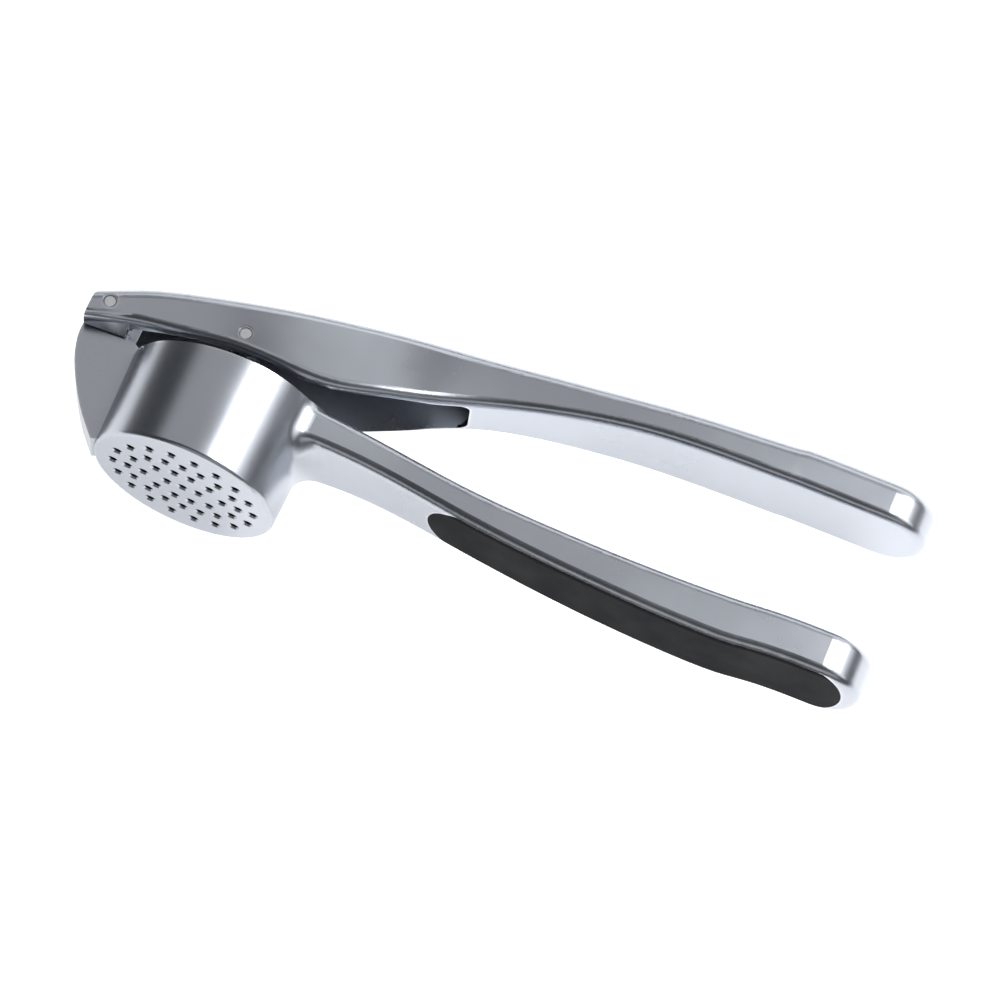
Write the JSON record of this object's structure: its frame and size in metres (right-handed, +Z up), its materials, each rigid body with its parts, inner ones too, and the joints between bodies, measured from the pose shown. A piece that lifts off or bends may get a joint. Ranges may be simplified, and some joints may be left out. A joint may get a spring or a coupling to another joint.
{
  "type": "garlic press",
  "caption": "Hinged garlic press lying on its side: curved handles, a perforated cup and a swinging plunger on pins, with a soft grip insert.",
  "frame": {"origin": "under the middle of the whole press as it lies on its side, on the surface it lies on", "axes": "+X along the handles from the hinge to the tips, +Y out of the cup's mouth towards the upper handle, +Z up along both pins"},
  "size_m": [0.178, 0.057, 0.0416],
  "materials": {
    "cast_metal": "satin die-cast metal",
    "pin_steel": "polished",
    "grip_rubber": "matte"
  },
  "bodies": {
    "lower_handle": {"lower_body": "cast_metal", "grip_insert": "grip_rubber"},
    "upper_handle": {"upper_handle": "cast_metal", "hinge_pin": "pin_steel", "plunger_pin": "pin_steel"},
    "plunger": {"plunger": "cast_metal"}
  },
  "joints": [
    {"name": "handle_hinge", "type": "hinge", "parent": "lower_handle", "child": "upper_handle", "pos_m": [-0.08499, 0.0002, 0.02078], "axis": [0, 0, 1], "range_deg": [-4.5, 75]},
    {"name": "plunger_hinge", "type": "hinge", "parent": "upper_handle", "child": "plunger", "pos_m": [-0.05629, 0.00399, 0.02078], "axis": [0, 0, 1], "range_deg": [-32, 2]}
  ],
  "couplings": [
    {"joint": "plunger_hinge", "follows": "handle_hinge", "ratio": -0.42}
  ]
}
